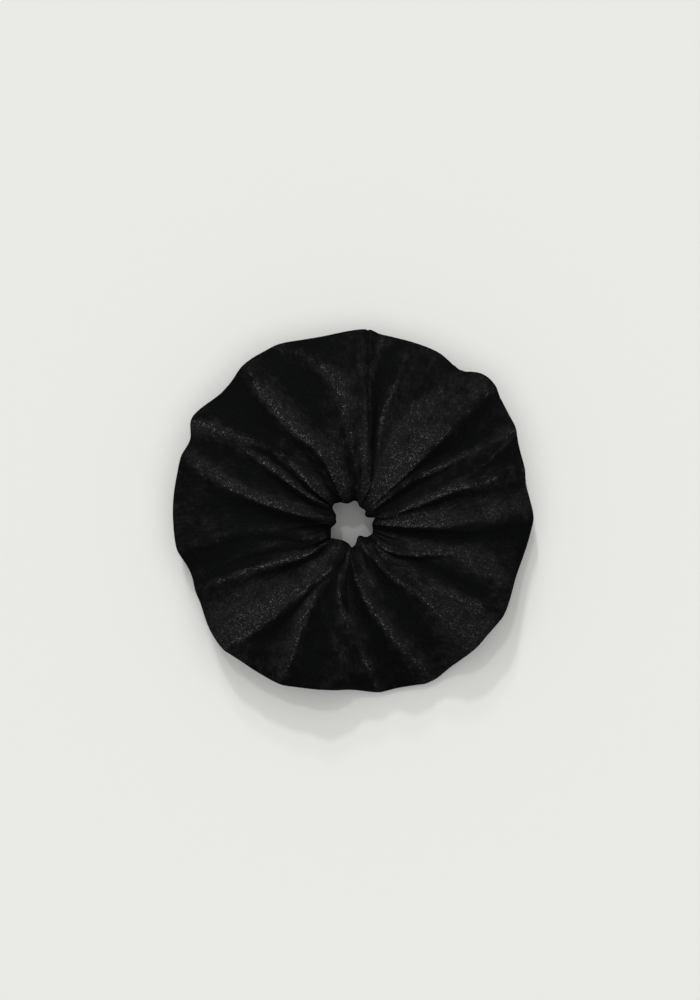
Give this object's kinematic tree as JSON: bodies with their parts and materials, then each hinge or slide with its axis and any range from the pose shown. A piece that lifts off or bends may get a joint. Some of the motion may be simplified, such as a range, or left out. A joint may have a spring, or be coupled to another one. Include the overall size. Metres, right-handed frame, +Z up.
{
  "type": "hair scrunchie",
  "caption": "Black velvet scrunchie lying flat: a gathered cloth tube round a hidden elastic loop, with a small hole that the hair goes through.",
  "frame": {"origin": "centre of the outline, on the surface that the scrunchie lies on", "axes": "+Z up, through the thickness of the ring; +Y towards the closing seam's side; +X the way the ring is pulled open"},
  "size_m": [0.15, 0.15, 0.034],
  "materials": {
    "velvet": "crushed velvet pile",
    "elastic": "braided, matte",
    "thread": "spun, matte"
  },
  "bodies": {
    "left_half": {"velvet_cover_left": "velvet", "elastic_band": "elastic", "elastic_join_thread": "thread", "long_seam_needle_thread": "thread", "long_seam_bobbin_thread": "thread", "closing_seam_needle_thread": "thread"},
    "right_half": {"velvet_cover_right": "velvet", "closing_seam_bobbin_thread": "thread"}
  },
  "joints": [
    {"name": "stretch", "type": "slide", "parent": "left_half", "child": "right_half", "axis": [1, 0, 0], "range_m": [0, 0.045], "stiffness_N_per_m": 80, "deforming": ["elastic_band", "long_seam_needle_thread", "long_seam_bobbin_thread"]}
  ]
}
